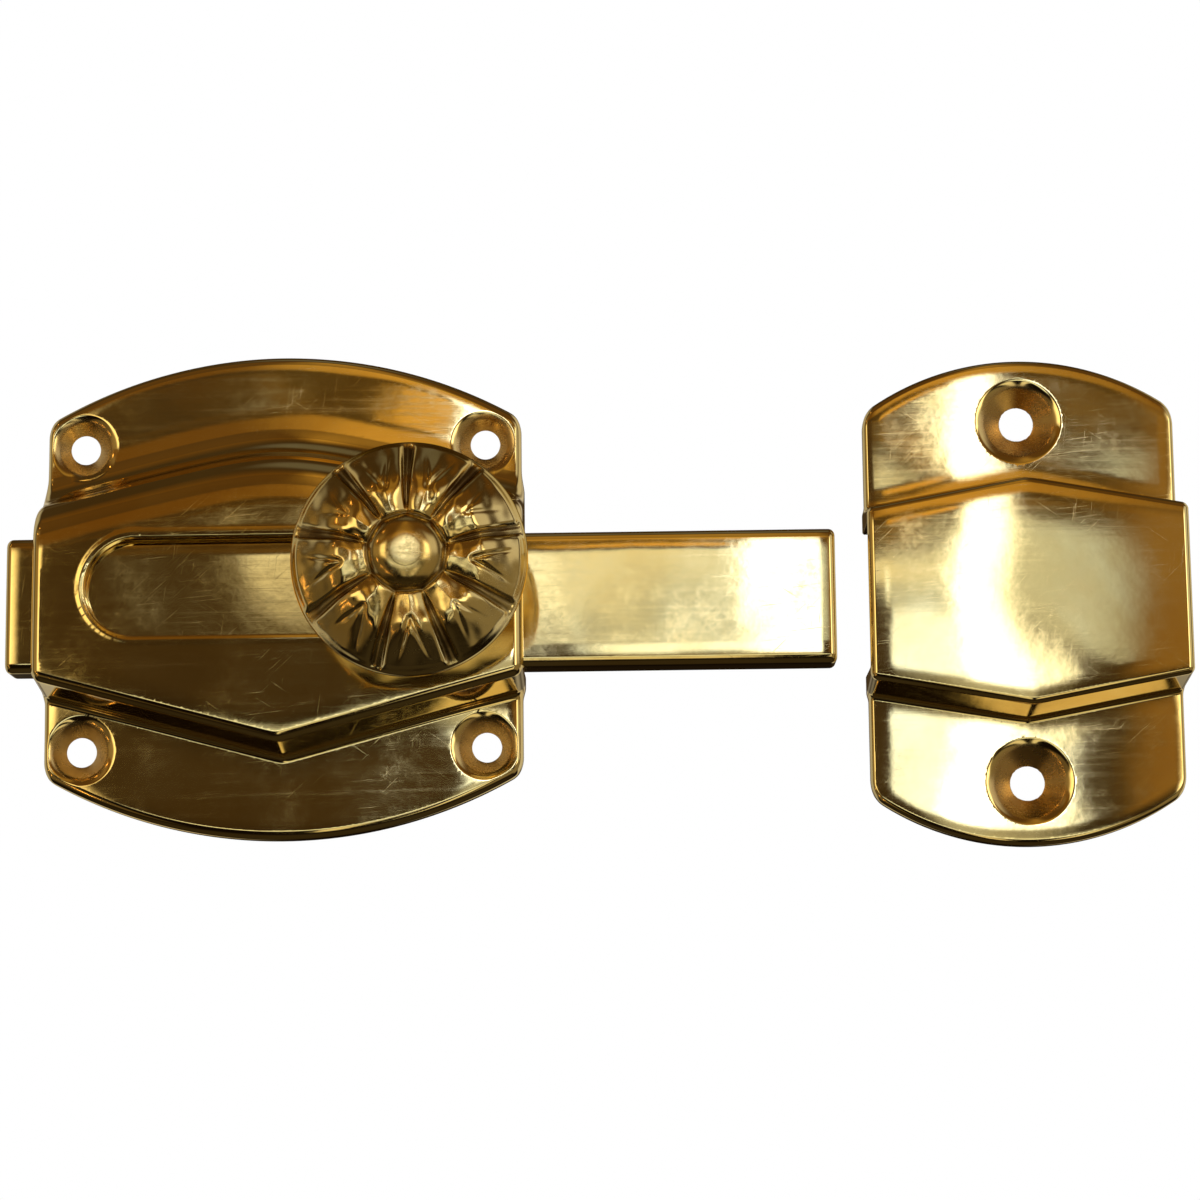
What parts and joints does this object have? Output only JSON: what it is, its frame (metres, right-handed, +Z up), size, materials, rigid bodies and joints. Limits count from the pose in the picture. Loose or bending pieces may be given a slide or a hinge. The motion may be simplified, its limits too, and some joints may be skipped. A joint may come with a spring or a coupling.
{
  "type": "toggle bolt latch",
  "caption": "Cast surface bolt for a door: a flat bolt with a round rosette knob slides in a low case and shoots into a matching strike.",
  "frame": {"origin": "middle of the case's four screw holes, on the door face that the case lies against", "axes": "+X is the throw of the bolt towards the strike, +Z is up the door, and -Y points out of the door towards the person who uses the latch"},
  "size_m": [0.1665, 0.0383, 0.0721],
  "materials": {
    "cast_brass": "polished casting with fine scratches and satin countersinks",
    "bolt_brass": "polished drawn bar",
    "knob_brass": "polished casting with dark patina in the chased lines",
    "sheet_brass": "mill finish sheet",
    "spring_steel": "blued spring strip",
    "screw_steel": "bright turned steel"
  },
  "bodies": {
    "case": {"case": "cast_brass", "back_plate": "sheet_brass", "back_plate_screws": "screw_steel", "bolt_spring": "spring_steel", "spring_rivets": "sheet_brass"},
    "bolt": {"bolt": "bolt_brass", "knob_collar": "bolt_brass", "knob": "knob_brass", "knob_screw": "screw_steel", "knob_lock_washer": "screw_steel"},
    "strike": {"strike": "cast_brass"}
  },
  "joints": [
    {"name": "bolt_slide", "type": "slide", "parent": "case", "child": "bolt", "axis": [1, 0, 0], "range_m": [-0.04, 0]},
    {"name": "strike_closing", "type": "slide", "parent": "case", "child": "strike", "axis": [1, 0, 0], "range_m": [-0.043, 0]}
  ]
}
